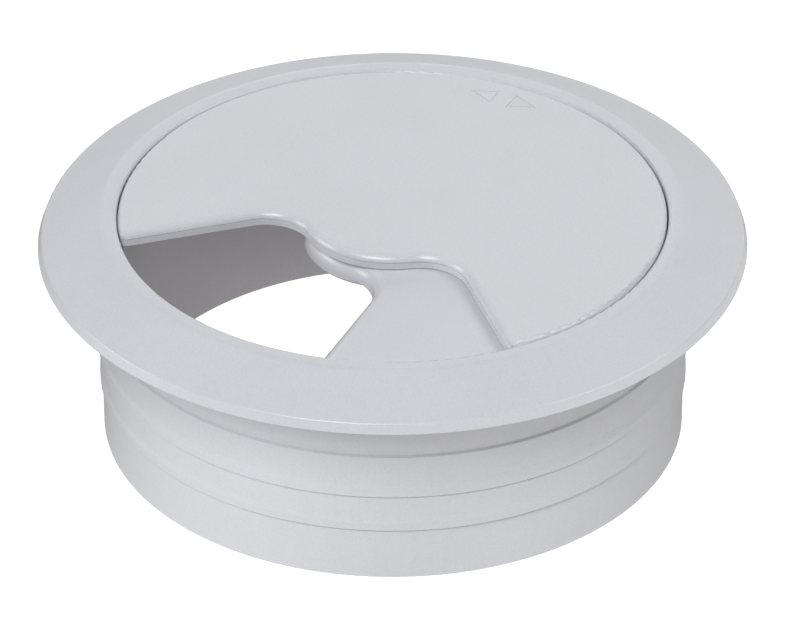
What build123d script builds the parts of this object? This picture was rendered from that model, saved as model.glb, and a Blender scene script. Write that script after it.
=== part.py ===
from build123d import *
import os

# Desk grommet: a flanged sleeve pushed into a round hole in a desk top, and a cap that drops into it.
# The cap is a lower plate, keyed to the sleeve, and a lid that turns on the plate to open or close
# the way for the cables. Millimetres. The axis is Z, z = 0 is the desk top, and -Y faces the user.

# Sleeve: flange
flange_radius = 47.95
rim_top_radius = 47.45  # the rim's face leans in from the flange's underside to here
rim_height = 1.3
rim_edge_round = 0.3
crease_radius = 39.4  # a cone rises from the rim to this radius, then a flat ring runs to the opening
crease_round = 2.0
top_height = 4.4
opening_radius = 37.25
opening_round = 0.5

# Sleeve: pockets that core out the underside of the flange, between radial webs
pocket_inner_radius = 42.0
pocket_outer_radius = 46.0
flange_wall = 1.5
web_count = 24
web_thickness = 1.0

# Sleeve: barrel
barrel_depth = 28.2
bore_radius = 36.45
foot_edge_round = 0.2
neck_radius = 39.8
tiers = (  # face radius, top, lip radius, bottom; each tier flares to a lip at its lower end
    (40.08, -8.95, 40.25, -15.1),
    (39.98, -15.1, 40.13, -20.5),
)
neck_lead_in = 0.25  # a chamfer of this height runs from the neck out to the upper tier
lip_land = 1.05
lip_flare = 1.0
lip_edge_round = 0.1
skirt_radius = 39.8
relief_depth = 0.1  # a chamfer leads out from the root of each lip to the next face
relief_height = 0.3

# Seat for the cap inside the sleeve, with lugs that stop the plate from turning
seat_height = -0.05
lug_angles = (-90, 180, 90)  # from the direction of the plate's cut-out
lug_width = 3.0
lug_height = 1.5
lug_clearance = 0.15

# Cable cut-out, the same wedge in both discs, with its apex behind the axis and a hub in its mouth
wedge_angle = 90
apex_offset = 6.5
bay_radius = 6.5  # rounds the corner between each straight edge and the hub

# Lower plate
plate_radius = 37.0
plate_top = 2.4
plate_hub_radius = 11.95
plate_hub_bottom = -0.8
plate_hub_round = 0.5
plate_edge_round = 2.0
plate_skin = 1.6
plate_wall = 1.8
plate_cutout_direction = 201.2
rib_angles = (-120, -90, -60, -30, 0, 30, 60, 90, 120)  # from straight behind the cut-out
rib_thickness = 1.2
boss_radius = 7.0
boss_bottom = -1.85
pivot_bore_radius = 4.0
bore_lead_in = 0.5
ejector_radius = 1.6
ejector_mark_depth = 0.15
ejector_circle_radius = 25.0

# Lid
lid_radius = 37.05
lid_hub_radius = 12.2
lid_rim_round = 0.6
lid_cutout_round = 1.1  # the edge is rounder along the cut-out than round the rim
lid_corner_round = 0.9
lid_cutout_direction = 242.2
glide_height = 0.12
glide_width = 1.0
glide_radii = (8.0, 34.0)
glide_inset = 1.5
mould_line_height = 3.38
mould_line_width = 0.12
mould_line_depth = 0.12

# Snap stub under the lid, which clips through the plate's boss
stub_radius = 3.92
stub_wall = 1.3
barb_radius = 4.6
barb_clearance = 0.1
barb_length = 2.4
barb_land = 0.6
barb_tip_radius = 3.5
stub_slot_width = 1.1
stub_slot_top = 0.85

# Arrow marks on the lid, opposite the cut-out
arrow_radius = 33.0
arrow_half_base = 1.8
arrow_base_offset = 1.2
arrow_tip_offset = 5.15
arrow_line_width = 0.32
arrow_depth = 0.08

lid_underside = plate_top + glide_height
turn = Axis.Z


def ring(corners):
    """Body of revolution about Z. A corner is (radius, height) or (radius, height, rounding)."""
    points = [(corner[0], corner[1]) for corner in corners]
    rounds = [corner[2] if len(corner) == 3 else 0 for corner in corners]
    outline = FilletPolyline(*points, radius=rounds, close=True)
    return revolve(Plane.XZ * make_face(outline), turn)


def annulus(outer_radius, inner_radius):
    return Circle(outer_radius) - Circle(inner_radius)


def radial_bars(angles, inner_radius, outer_radius, width, bottom, top):
    """Upright bars that run outwards from the axis, one at each angle."""
    length = outer_radius - inner_radius
    bar = Pos(inner_radius + length / 2, 0, (bottom + top) / 2) * Box(length, width, top - bottom)
    return [Rot(0, 0, angle) * bar for angle in angles]


def cone_height(radius):
    """Height of the flange's conical top at a radius."""
    slope = (top_height - rim_height) / (rim_top_radius - crease_radius)
    return rim_height + slope * (rim_top_radius - radius)


def barrel_corners():
    """Outside of the barrel, from the desk top down: neck, grip tiers and skirt."""
    corners = [(neck_radius, 0), (neck_radius, tiers[0][1] + neck_lead_in)]
    corners += [(tiers[0][0], tiers[0][1])]
    next_faces = [tier[0] for tier in tiers[1:]] + [skirt_radius]
    for (face, _, lip, bottom), next_face in zip(tiers, next_faces):
        corners += [
            (face, bottom + lip_land + lip_flare),
            (lip, bottom + lip_land),
            (lip, bottom, lip_edge_round),
            (next_face - relief_depth, bottom),
            (next_face, bottom - relief_height),
        ]
    corners += [(skirt_radius, -barrel_depth, foot_edge_round)]
    return corners


def sleeve():
    flange_corners = [
        (bore_radius, -barrel_depth, foot_edge_round),
        (bore_radius, seat_height),
        (opening_radius, seat_height),
        (opening_radius, top_height, opening_round),
        (crease_radius, top_height, crease_round),
        (rim_top_radius, rim_height, rim_edge_round),
        (flange_radius, 0),
    ]
    body = ring(flange_corners + barrel_corners())

    pocket = ring(
        [
            (pocket_inner_radius, 0),
            (pocket_outer_radius, 0),
            (pocket_outer_radius, cone_height(pocket_outer_radius) - flange_wall),
            (pocket_inner_radius, cone_height(pocket_inner_radius) - flange_wall),
        ]
    )
    web_angles = [360 / web_count * k for k in range(web_count)]
    webs = radial_bars(web_angles, crease_radius, flange_radius, web_thickness, 0, top_height)
    body -= pocket - webs

    lug_directions = [plate_cutout_direction + angle for angle in lug_angles]
    lug_root = (opening_radius + crease_radius) / 2
    lug_top = seat_height + lug_height
    bars = radial_bars(lug_directions, 0, lug_root, lug_width, seat_height, lug_top)
    bore = Pos(0, 0, seat_height) * extrude(Circle(bore_radius), lug_height)
    return body + [bar - bore for bar in bars]


def shutter_outline(radius, hub_radius, corner_round=0):
    """Plan of a disc with the cable cut-out open towards +X. Its two rim corners may be rounded."""
    reach = 2 * radius
    wedge = Polyline(
        (-apex_offset, 0),
        Vector(-apex_offset, 0) + Vector(reach, 0).rotate(turn, wedge_angle / 2),
        Vector(-apex_offset, 0) + Vector(reach, 0).rotate(turn, -wedge_angle / 2),
        close=True,
    )
    cutout = make_face(wedge) - Circle(hub_radius)
    cutout = fillet(cutout.vertices().sort_by_distance((0, 0, 0))[:2], bay_radius)
    outline = Circle(radius) - cutout
    if corner_round:
        outline = fillet(outline.vertices().sort_by_distance((0, 0, 0))[-2:], corner_round)
    return outline


def shutter_blank(hub_radius, bottom, top, edge_round):
    """Disc wider than either shutter disc, with the top edge rounded along its cut-out."""
    body = Pos(0, 0, bottom) * extrude(shutter_outline(flange_radius, hub_radius), top - bottom)
    return fillet(body.edges().group_by(Axis.Z)[-1], edge_round)


def lower_plate():
    """Disc on the sleeve's seat: a skin with a wall round its edge, ribs, a hub wall and a boss below."""
    body = shutter_blank(plate_hub_radius, seat_height, plate_top, plate_edge_round)
    body &= Pos(0, 0, seat_height) * extrude(Circle(plate_radius), plate_top - seat_height)

    hub_bore_radius = plate_hub_radius - plate_wall
    hub_wall = annulus(plate_hub_radius, hub_bore_radius)
    inside = offset(shutter_outline(plate_radius, plate_hub_radius), -plate_wall) - hub_wall
    pocket = Pos(0, 0, seat_height) * extrude(inside, plate_top - plate_skin - seat_height)
    rib_directions = [180 + angle for angle in rib_angles]
    ribs = radial_bars(rib_directions, 0, plate_radius, rib_thickness, seat_height, plate_top)
    body -= pocket - ribs
    body += ring(
        [
            (hub_bore_radius, seat_height),
            (hub_bore_radius, plate_hub_bottom),
            (plate_hub_radius, plate_hub_bottom, plate_hub_round),
            (plate_hub_radius, seat_height),
        ]
    )

    marks = [
        Rot(0, 0, 180 + (a + b) / 2) * Pos(ejector_circle_radius, 0, plate_top - plate_skin)
        for a, b in zip(rib_angles, rib_angles[1:])
    ]
    body -= [mark * extrude(Circle(ejector_radius), ejector_mark_depth) for mark in marks]

    boss_height = plate_top - plate_skin / 2 - boss_bottom
    body += Pos(0, 0, boss_bottom) * extrude(Circle(boss_radius), boss_height)
    body -= ring(
        [
            (0, boss_bottom),
            (pivot_bore_radius, boss_bottom),
            (pivot_bore_radius, plate_top - bore_lead_in),
            (pivot_bore_radius + bore_lead_in, plate_top),
            (0, plate_top),
        ]
    )

    notch_width = lug_width + 2 * lug_clearance
    notch_top = seat_height + lug_height + lug_clearance
    notch_floor = bore_radius - lug_clearance
    body -= radial_bars(
        lug_angles, notch_floor, flange_radius, notch_width, seat_height, notch_top
    )
    return Rot(0, 0, plate_cutout_direction) * body


def snap_stub():
    """Hollow stub, split crosswise into four prongs, with a barb below the plate's boss."""
    barb_top = boss_bottom - barb_clearance
    barb_bottom = barb_top - barb_length
    stub = ring(
        [
            (stub_radius - stub_wall, lid_underside),
            (stub_radius, lid_underside),
            (stub_radius, barb_top),
            (barb_radius, barb_top),
            (barb_radius, barb_top - barb_land),
            (barb_tip_radius, barb_bottom),
            (stub_radius - stub_wall, barb_bottom),
        ]
    )
    slots = radial_bars(
        (0, 90, 180, 270), 0, flange_radius, stub_slot_width, barb_bottom, stub_slot_top
    )
    return stub - slots


def arrow_mark(side):
    """Outline of a small triangle that points along the lid's rim, to one side or the other."""
    corners = [
        (-arrow_radius - arrow_half_base, side * arrow_base_offset),
        (-arrow_radius + arrow_half_base, side * arrow_base_offset),
        (-arrow_radius, side * arrow_tip_offset),
    ]
    triangle = make_face(Polyline(*corners, close=True))
    return triangle - offset(triangle, -arrow_line_width, kind=Kind.INTERSECTION)


def lid():
    """Turning disc with a rounded top edge, a mould line round its side, glide rings and the stub."""
    outline = shutter_outline(lid_radius, lid_hub_radius, lid_corner_round)
    body = shutter_blank(lid_hub_radius, lid_underside, top_height, lid_cutout_round)
    body &= Pos(0, 0, lid_underside) * extrude(outline, top_height - lid_underside)
    body &= ring(
        [
            (0, lid_underside),
            (lid_radius, lid_underside),
            (lid_radius, top_height, lid_rim_round),
            (0, top_height),
        ]
    )
    groove = outline - offset(outline, -mould_line_depth)
    body -= Pos(0, 0, mould_line_height) * extrude(groove, mould_line_width)

    inside = offset(outline, -glide_inset)
    for radius in glide_radii:
        glide = annulus(radius + glide_width / 2, radius - glide_width / 2) & inside
        body += Pos(0, 0, plate_top) * extrude(glide, glide_height)
    body += snap_stub()

    for side in (-1, 1):
        body -= Pos(0, 0, top_height - arrow_depth) * extrude(arrow_mark(side), arrow_depth)
    return Rot(0, 0, lid_cutout_direction) * body


os.makedirs("parts", exist_ok=True)
for name, piece in (("sleeve", sleeve()), ("lower_plate", lower_plate()), ("lid", lid())):
    export_step(piece, f"parts/{name}.step")
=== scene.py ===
import math

import bpy
from mathutils import Matrix, Vector


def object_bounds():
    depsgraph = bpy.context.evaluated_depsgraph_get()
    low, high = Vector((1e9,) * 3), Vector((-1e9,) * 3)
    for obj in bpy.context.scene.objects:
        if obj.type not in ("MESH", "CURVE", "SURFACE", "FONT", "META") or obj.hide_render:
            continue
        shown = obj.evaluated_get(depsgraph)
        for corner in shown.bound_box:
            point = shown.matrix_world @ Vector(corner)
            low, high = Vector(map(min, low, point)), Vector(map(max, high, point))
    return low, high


# Looks for the desk grommet. The CAD nodes keep their shapes and get moulded-plastic materials here.
# Metres, in the CAD frame: z = 0 is the desk top, and the grommet stands on its barrel's foot.

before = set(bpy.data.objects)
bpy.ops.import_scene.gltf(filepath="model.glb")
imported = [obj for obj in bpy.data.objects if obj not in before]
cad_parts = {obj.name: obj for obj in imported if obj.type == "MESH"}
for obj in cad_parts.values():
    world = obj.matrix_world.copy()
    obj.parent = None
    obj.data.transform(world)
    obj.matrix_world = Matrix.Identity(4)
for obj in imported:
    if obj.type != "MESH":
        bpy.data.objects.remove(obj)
cad_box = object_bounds()
foot = cad_box[0].z

# Camera: a long lens, from in front and above. Angles are in degrees, the lens and sensor in mm.
CAMERA_TARGET = Vector((0.0018, -0.0200, 0.00134))
CAMERA_DISTANCE = 0.757
CAMERA_ELEVATION = 32.64
CAMERA_ROLL = -0.10
CAMERA_LENS = 253.8
CAMERA_SENSOR = 36.0
CAMERA_CLIP = (0.05, 50.0)

# Stage. The camera sees the floor as a clean white ground. The grommet sees a dark floor that glows,
# as a table top does that is lit from some sides and shaded from others.
FLOOR_RADIUS = 12.0
FLOOR_SIDES = 128
FLOOR_GAP = 0.00002
FLOOR_COLOUR = (0.073, 0.070, 0.067, 1.0)
FLOOR_WHITE = 1.10  # emission towards the camera
FLOOR_TINT = (1.0, 0.992, 0.975, 1.0)
UNDER_GLOW = 0.51  # emission inside the barrel
UNDER_TINT = (1.0, 0.955, 0.915, 1.0)
UNDER_RADIUS = 0.038
FAR_RADIUS = 0.10
GLOW_FADE = 0.001
FLOOR_GLOWS = (  # azimuth from the camera's side towards +X, radius where it starts, strength
    (0, UNDER_RADIUS, 0.95),
    (-90, UNDER_RADIUS, 0.23),
    (90, UNDER_RADIUS, 0.38),
    (90, FAR_RADIUS, 0.66),
    (180, FAR_RADIUS, 0.18),
)

# Softboxes: name, azimuth from the camera's side towards +X, elevation, side of the square, radiance
SOFTBOX_DISTANCE = 2.0
SOFTBOXES = (
    ("key", -22, 47, 1.0, 9.25),
    ("left", -90, 15, 0.9, 5.2),
    ("right_high", 90, 47, 1.0, 4.8),
    ("back_right", 150, 15, 0.9, 1.4),
    ("back_right_high", 150, 47, 1.0, 1.3),
    ("back", 180, 15, 0.9, 2.35),
    ("back_left", -150, 15, 0.9, 0.35),
)

# The plastic. The lid is a shade lighter than the other two pieces.
BODY_COLOUR = (0.605, 0.612, 0.648, 1.0)
LID_COLOUR = (0.620, 0.627, 0.660, 1.0)
PLASTIC_IOR = 1.50
TOP_ROUGHNESS = 0.46
WALL_ROUGHNESS = 0.37

# Where the surface faces, as the upward part of its normal
TOP_FACE_FROM, TOP_FACE_FULL = 0.80, 0.92
WALL_FULL, WALL_UNTIL = 0.15, 0.45

# Noise patterns: features per millimetre, detail, roughness
MM = 1000.0
GRAIN = (4.5, 3.0, 0.7)  # fine moulded texture
CLOUD = (0.7, 3.0, 0.6)  # soft patches
FLOW = (0.09, 2.0, 0.5)  # slow waves
SCUFFS = (0.35, 5.0, 0.7)  # duller and glossier patches on the top faces
DRAG = (1.3, 4.0, 0.65)  # lines down the steep walls
HAIRLINE = (1.0, 1.0, 0.5)  # stretched into scratches
DRAG_STRETCH = (1.0, 1.0, 0.04)
HAIRLINE_STRETCH = (0.05, 2.4, 0.3)
HAIRLINE_TURNS = (0.4, -0.9)  # radians about Z
HAIRLINE_FROM, HAIRLINE_FULL = 0.68, 0.72
PATTERN_SPAN = (0.3, 0.7)  # the part of a pattern's range that counts
SCUFF_SPAN = (0.35, 0.65)
FLOW_MIDDLE = 0.5

# How far each pattern shifts the plastic's brightness, as a part of it
GRAIN_TONE = 0.042
CLOUD_TONE = 0.006
FLOW_TONE = 0.008
DRAG_TONE = 0.005

# How far each pattern shifts the roughness
SCUFF_ROUGHNESS = 0.04
CLOUD_ROUGHNESS = 0.02
ROUNDED_POLISH = 0.12  # on the rounded edges, which the mould polishes best
SCRATCH_POLISH = 0.08
GLIDE_POLISH = 0.12

# Relief of the patterns, in metres
GRAIN_DEPTH = 0.000008
FLOW_DEPTH = 0.000060
DRAG_DEPTH = 0.000001
SCRATCH_DEPTH = 0.000003

# Circles on the lower plate, in millimetres, where the lid's glide rings run
GLIDE_RADII = (8.0, 34.0)
GLIDE_CORE, GLIDE_EDGE = 0.3, 0.8


# ---------------------------------------------------------------- materials


class Shader:
    """A material's node tree, with one call to add and wire each node."""

    def __init__(self, name):
        self.material = bpy.data.materials.new(name)
        self.material.use_nodes = True
        self.tree = self.material.node_tree
        self.bsdf = self.tree.nodes["Principled BSDF"]

    def feed(self, socket, value):
        if isinstance(value, bpy.types.NodeSocket):
            self.tree.links.new(value, socket)
        elif value is not None:
            socket.default_value = value

    def surface(self, name, value):
        """Sets or wires one input of the surface itself."""
        self.feed(self.bsdf.inputs[name], value)

    def node(self, kind, output, inputs, **settings):
        node = self.tree.nodes.new(kind)
        for key, value in settings.items():
            setattr(node, key, value)
        for key, value in inputs.items():
            self.feed(node.inputs[key], value)
        return node.outputs[output]

    def math(self, operation, a, b=None):
        return self.node("ShaderNodeMath", 0, {0: a, 1: b}, operation=operation)

    def total(self, *terms):
        """Adds up sockets and numbers."""
        result = terms[0]
        for term in terms[1:]:
            result = self.math("ADD", result, term)
        return result

    def vector(self, operation, a, b=None, output="Vector"):
        return self.node("ShaderNodeVectorMath", output, {0: a, 1: b}, operation=operation)

    def noise(self, vector, scale, detail, roughness):
        inputs = {"Vector": vector, "Scale": scale, "Detail": detail, "Roughness": roughness}
        return self.node("ShaderNodeTexNoise", "Fac", inputs)

    def ramp(self, value, low, high, out_low, out_high):
        inputs = {
            "Value": value,
            "From Min": low,
            "From Max": high,
            "To Min": out_low,
            "To Max": out_high,
        }
        return self.node("ShaderNodeMapRange", 0, inputs, interpolation_type="SMOOTHSTEP")

    def swing(self, pattern, amount, span=PATTERN_SPAN):
        """Turns a noise pattern into a shift between -amount and +amount."""
        return self.ramp(pattern, *span, -amount, amount)

    def bump(self, height, distance, normal=None):
        inputs = {"Height": height, "Distance": distance, "Strength": 1.0, "Normal": normal}
        return self.node("ShaderNodeBump", "Normal", inputs)


def hairlines(s, place, turn):
    """Mask of sparse fine scratches, long in one direction across the top faces."""
    inputs = {"Vector": place, "Angle": turn}
    turned = s.node("ShaderNodeVectorRotate", 0, inputs, rotation_type="Z_AXIS")
    streaks = s.noise(s.vector("MULTIPLY", turned, HAIRLINE_STRETCH), *HAIRLINE)
    return s.ramp(streaks, HAIRLINE_FROM, HAIRLINE_FULL, 0.0, 1.0)


def rubbed_rings(s, place, radii):
    """Mask of the circles that the lid's glide rings have polished."""
    level = s.vector("MULTIPLY", place, (1.0, 1.0, 0.0))
    reach = s.vector("LENGTH", level, output="Value")
    mask = 0.0
    for ring_radius in radii:
        off = s.math("ABSOLUTE", s.math("SUBTRACT", reach, ring_radius))
        mask = s.math("MAXIMUM", s.ramp(off, GLIDE_CORE, GLIDE_EDGE, 1.0, 0.0), mask)
    return mask


def moulded_plastic(name, colour, rub_radii=()):
    """Satin moulded plastic: an even fine grain, and faint drag lines down the steep walls."""
    s = Shader(name)
    coordinates = s.tree.nodes.new("ShaderNodeTexCoord")
    place = s.vector("MULTIPLY", coordinates.outputs["Object"], (MM, MM, MM))
    upward = s.node("ShaderNodeSeparateXYZ", "Z", {0: coordinates.outputs["Normal"]})
    top_face = s.ramp(upward, TOP_FACE_FROM, TOP_FACE_FULL, 0.0, 1.0)
    wall = s.ramp(s.math("ABSOLUTE", upward), WALL_FULL, WALL_UNTIL, 1.0, 0.0)
    rounded = s.math("SUBTRACT", s.math("SUBTRACT", 1.0, wall), top_face)

    grain = s.noise(place, *GRAIN)
    cloud = s.noise(place, *CLOUD)
    flow = s.noise(place, *FLOW)
    scuffs = s.noise(place, *SCUFFS)
    drag = s.noise(s.vector("MULTIPLY", place, DRAG_STRETCH), *DRAG)
    scratch = s.math("MAXIMUM", *[hairlines(s, place, turn) for turn in HAIRLINE_TURNS])
    scratch = s.math("MULTIPLY", scratch, top_face)

    shade = s.total(
        1.0,
        s.swing(flow, FLOW_TONE),
        s.swing(cloud, CLOUD_TONE),
        s.swing(grain, GRAIN_TONE),
        s.math("MULTIPLY", wall, s.swing(drag, DRAG_TONE)),
    )
    s.surface("Base Color", s.node("ShaderNodeHueSaturation", 0, {"Color": colour, "Value": shade}))

    rough = s.total(
        s.ramp(top_face, 0.0, 1.0, WALL_ROUGHNESS, TOP_ROUGHNESS),
        s.math("MULTIPLY", rounded, -ROUNDED_POLISH),
        s.math("MULTIPLY", top_face, s.swing(scuffs, SCUFF_ROUGHNESS, SCUFF_SPAN)),
        s.math("MULTIPLY", top_face, s.swing(cloud, CLOUD_ROUGHNESS)),
        s.math("MULTIPLY", scratch, -SCRATCH_POLISH),
    )
    if rub_radii:
        polished = s.math("MULTIPLY", rubbed_rings(s, place, rub_radii), top_face)
        rough = s.math("ADD", rough, s.math("MULTIPLY", polished, -GLIDE_POLISH))
    s.surface("Roughness", rough)

    normal = s.bump(grain, GRAIN_DEPTH)
    waves = s.math("MULTIPLY", s.math("SUBTRACT", flow, FLOW_MIDDLE), top_face)
    normal = s.bump(waves, FLOW_DEPTH, normal)
    normal = s.bump(s.math("MULTIPLY", drag, wall), DRAG_DEPTH, normal)
    normal = s.bump(s.math("SUBTRACT", 1.0, scratch), SCRATCH_DEPTH, normal)
    s.surface("Normal", normal)
    s.surface("IOR", PLASTIC_IOR)
    return s.material


PLASTICS = {
    "sleeve": (BODY_COLOUR, ()),
    "lower_plate": (BODY_COLOUR, GLIDE_RADII),
    "lid": (LID_COLOUR, ()),
}
for node, (colour, rub_radii) in PLASTICS.items():
    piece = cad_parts[node]
    piece.data.materials.clear()
    piece.data.materials.append(moulded_plastic(node + "_plastic", colour, rub_radii))


# ---------------------------------------------------------------- stage, light and camera


def direction(azimuth, elevation):
    a, e = math.radians(azimuth), math.radians(elevation)
    return Vector((math.sin(a) * math.cos(e), -math.cos(a) * math.cos(e), math.sin(e)))


def floor_glow(s, place, reach):
    """Strength of the light that the floor sends to the grommet."""
    way = s.vector("NORMALIZE", place)
    glow = s.ramp(reach, UNDER_RADIUS - GLOW_FADE, UNDER_RADIUS, UNDER_GLOW, 0.0)
    for azimuth, start, strength in FLOOR_GLOWS:
        towards = s.vector("DOT_PRODUCT", way, direction(azimuth, 0), output="Value")
        lobe = s.math("MAXIMUM", towards, 0.0)
        outside = s.ramp(reach, start, start + GLOW_FADE, 0.0, strength)
        glow = s.math("ADD", glow, s.math("MULTIPLY", lobe, outside))
    return glow


def floor_white():
    s = Shader("floor_white")
    s.surface("Base Color", FLOOR_COLOUR)
    s.surface("Roughness", 1.0)
    s.surface("Specular IOR Level", 0.0)
    place = s.tree.nodes.new("ShaderNodeTexCoord").outputs["Object"]
    reach = s.vector("LENGTH", place, output="Value")
    outside = s.math("GREATER_THAN", reach, UNDER_RADIUS)
    inputs = {"Fac": outside, "Color1": UNDER_TINT, "Color2": FLOOR_TINT}
    s.surface("Emission Color", s.node("ShaderNodeMixRGB", 0, inputs))
    seen = s.tree.nodes.new("ShaderNodeLightPath").outputs["Is Camera Ray"]
    glow = floor_glow(s, place, reach)
    s.surface("Emission Strength", s.ramp(seen, 0.0, 1.0, glow, FLOOR_WHITE))
    return s.material


def floor():
    bpy.ops.mesh.primitive_circle_add(
        vertices=FLOOR_SIDES,
        radius=FLOOR_RADIUS,
        fill_type="NGON",
        location=(0, 0, foot - FLOOR_GAP),
    )
    disc = bpy.context.object
    disc.name = "floor"
    disc.data.materials.append(floor_white())


def softbox(name, azimuth, elevation, side, radiance):
    light = bpy.data.lights.new(name, "AREA")
    light.shape = "SQUARE"
    light.size = side
    light.energy = radiance * math.pi * side * side
    lamp = bpy.data.objects.new(name, light)
    towards = direction(azimuth, elevation)
    lamp.location = towards * SOFTBOX_DISTANCE
    lamp.rotation_euler = towards.to_track_quat("Z", "Y").to_euler()
    bpy.context.scene.collection.objects.link(lamp)


def dark_world():
    """A studio with black surroundings: all light comes from the softboxes and the floor."""
    studio = bpy.data.worlds.new("studio")
    studio.use_nodes = True
    studio.node_tree.nodes["Background"].inputs["Strength"].default_value = 0.0
    bpy.context.scene.world = studio


def camera():
    data = bpy.data.cameras.new("camera")
    data.lens = CAMERA_LENS
    data.sensor_width = CAMERA_SENSOR
    data.clip_start, data.clip_end = CAMERA_CLIP
    eye = bpy.data.objects.new("camera", data)
    back = direction(0, CAMERA_ELEVATION)
    roll = Matrix.Rotation(math.radians(CAMERA_ROLL), 4, "Z")
    turn = back.to_track_quat("Z", "Y").to_matrix().to_4x4() @ roll
    eye.matrix_world = Matrix.Translation(CAMERA_TARGET + back * CAMERA_DISTANCE) @ turn
    bpy.context.scene.collection.objects.link(eye)
    bpy.context.scene.camera = eye


floor()
dark_world()
for box in SOFTBOXES:
    softbox(*box)
camera()
bpy.context.scene.view_settings.view_transform = "Standard"
